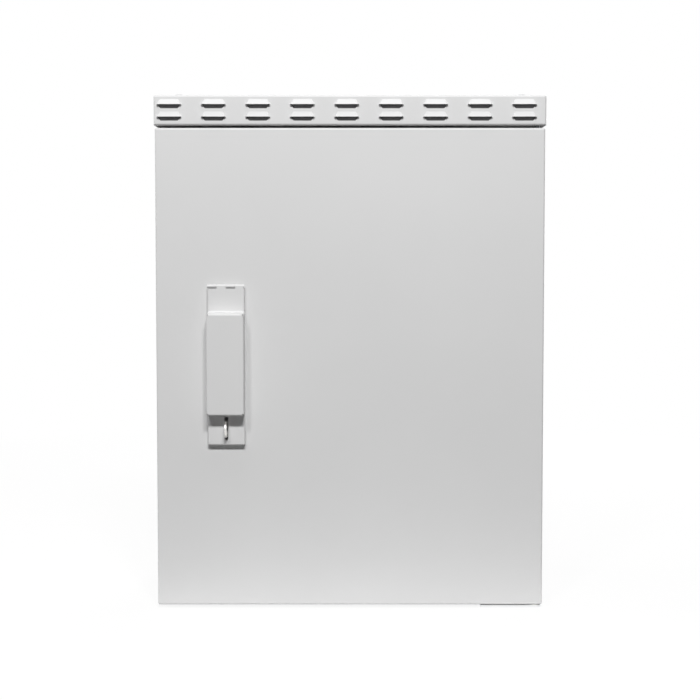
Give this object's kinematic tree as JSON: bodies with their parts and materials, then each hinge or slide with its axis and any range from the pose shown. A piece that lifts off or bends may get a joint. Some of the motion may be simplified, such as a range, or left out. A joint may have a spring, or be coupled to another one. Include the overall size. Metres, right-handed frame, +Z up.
{
  "type": "roadside utility cabinet",
  "caption": "Light grey sheet-metal outdoor cabinet with a louvred roof hood, a flush pan door on pivot hinges and a hinged padlock cover over its rod latch.",
  "frame": {"origin": "centre of the body's footprint on the ground", "axes": "+Z up, +X to the right seen from the front, +Y to the back; the door faces -Y"},
  "size_m": [0.606, 0.368, 0.807],
  "materials": {
    "powder_coat": "light grey polyester powder coat, fine texture, satin",
    "galvanised_sheet": "hot-dip galvanised sheet, matte",
    "zinc_plated_steel": "bright zinc plated steel",
    "stainless_steel": "stainless steel bar, brushed",
    "stainless_mesh": "fine woven stainless steel mesh",
    "machined_steel": "machined steel, lightly oiled",
    "nickel_brass": "nickel plated brass, satin",
    "black_zinc_casting": "die-cast zinc, black coated, satin",
    "epdm": "black EPDM rubber, matte",
    "grey_polyamide": "grey polyamide, moulded",
    "white_polyamide": "natural polyamide, moulded"
  },
  "bodies": {
    "cabinet": {"enclosure_body": "powder_coat", "front_frame": "powder_coat", "base_plate": "powder_coat", "cable_tray": "powder_coat", "roof_hood": "powder_coat", "louvre_screen": "stainless_mesh", "roof_bolts": "zinc_plated_steel", "roof_washers": "zinc_plated_steel", "roof_seals": "epdm", "roof_spacers": "zinc_plated_steel", "roof_nuts": "zinc_plated_steel", "lower_hinge_bracket": "zinc_plated_steel", "upper_hinge_bracket": "zinc_plated_steel", "hinge_bracket_screws": "zinc_plated_steel", "hinge_bracket_nuts": "zinc_plated_steel", "hinge_pins": "machined_steel", "hinge_washer": "white_polyamide", "rod_keepers": "powder_coat", "mounting_plate": "galvanised_sheet", "plate_studs": "zinc_plated_steel", "plate_nuts": "zinc_plated_steel", "gland_plate": "galvanised_sheet", "gland_plate_gasket": "epdm", "gland_plate_screws": "zinc_plated_steel", "gland_plate_nuts": "zinc_plated_steel", "cable_glands": "grey_polyamide", "gland_dome_nuts": "grey_polyamide", "gland_seals": "epdm", "gland_locknuts": "grey_polyamide", "blanking_plugs": "grey_polyamide", "earth_stud": "zinc_plated_steel", "earth_nuts": "zinc_plated_steel"},
    "door": {"door_panel": "powder_coat", "door_gasket": "epdm", "door_stiffener_left": "powder_coat", "door_stiffener_right": "powder_coat", "lower_hinge_block": "powder_coat", "upper_hinge_block": "powder_coat", "cover_hinge_leaf": "powder_coat", "cover_hinge_pin": "stainless_steel", "padlock_staple": "stainless_steel", "lock_plate": "black_zinc_casting", "profile_cylinder": "nickel_brass", "gear_case": "zinc_plated_steel", "gear_case_cover": "zinc_plated_steel", "case_spacers": "zinc_plated_steel", "case_screws": "zinc_plated_steel", "upper_rod_guide": "zinc_plated_steel", "lower_rod_guide": "zinc_plated_steel", "guide_bushes": "white_polyamide"},
    "cover": {"lock_cover": "powder_coat"},
    "knob": {"wing_knob": "black_zinc_casting", "knob_screw": "zinc_plated_steel", "spindle": "machined_steel", "drive_pinion": "machined_steel"},
    "upper_latch": {"upper_rack": "machined_steel", "upper_rod": "zinc_plated_steel"},
    "lower_latch": {"lower_rack": "machined_steel", "lower_rod": "zinc_plated_steel"},
    "key": {"key_plug": "nickel_brass"}
  },
  "joints": [
    {"name": "door_hinge", "type": "hinge", "parent": "cabinet", "child": "door", "pos_m": [0.2895, -0.17, 0.375], "axis": [0, 0, 1], "range_deg": [0, 120]},
    {"name": "cover_hinge", "type": "hinge", "parent": "door", "child": "cover", "pos_m": [-0.192, -0.188, 0.5055], "axis": [-1, 0, 0], "range_deg": [0, 150]},
    {"name": "knob_turn", "type": "hinge", "parent": "door", "child": "knob", "pos_m": [-0.192, -0.18, 0.4], "axis": [0, 1, 0], "range_deg": [0, 90]},
    {"name": "upper_rod_slide", "type": "slide", "parent": "door", "child": "upper_latch", "axis": [0, 0, 1], "range_m": [0, 0.01884]},
    {"name": "lower_rod_slide", "type": "slide", "parent": "door", "child": "lower_latch", "axis": [0, 0, -1], "range_m": [0, 0.0189]},
    {"name": "key_turn", "type": "hinge", "parent": "door", "child": "key", "pos_m": [-0.192, -0.17, 0.342], "axis": [0, 1, 0], "range_deg": [0, 90]}
  ],
  "couplings": [
    {"joint": "knob_turn", "follows": "upper_rod_slide", "rad_per_m": 83.333},
    {"joint": "lower_rod_slide", "follows": "upper_rod_slide", "ratio": 1}
  ]
}
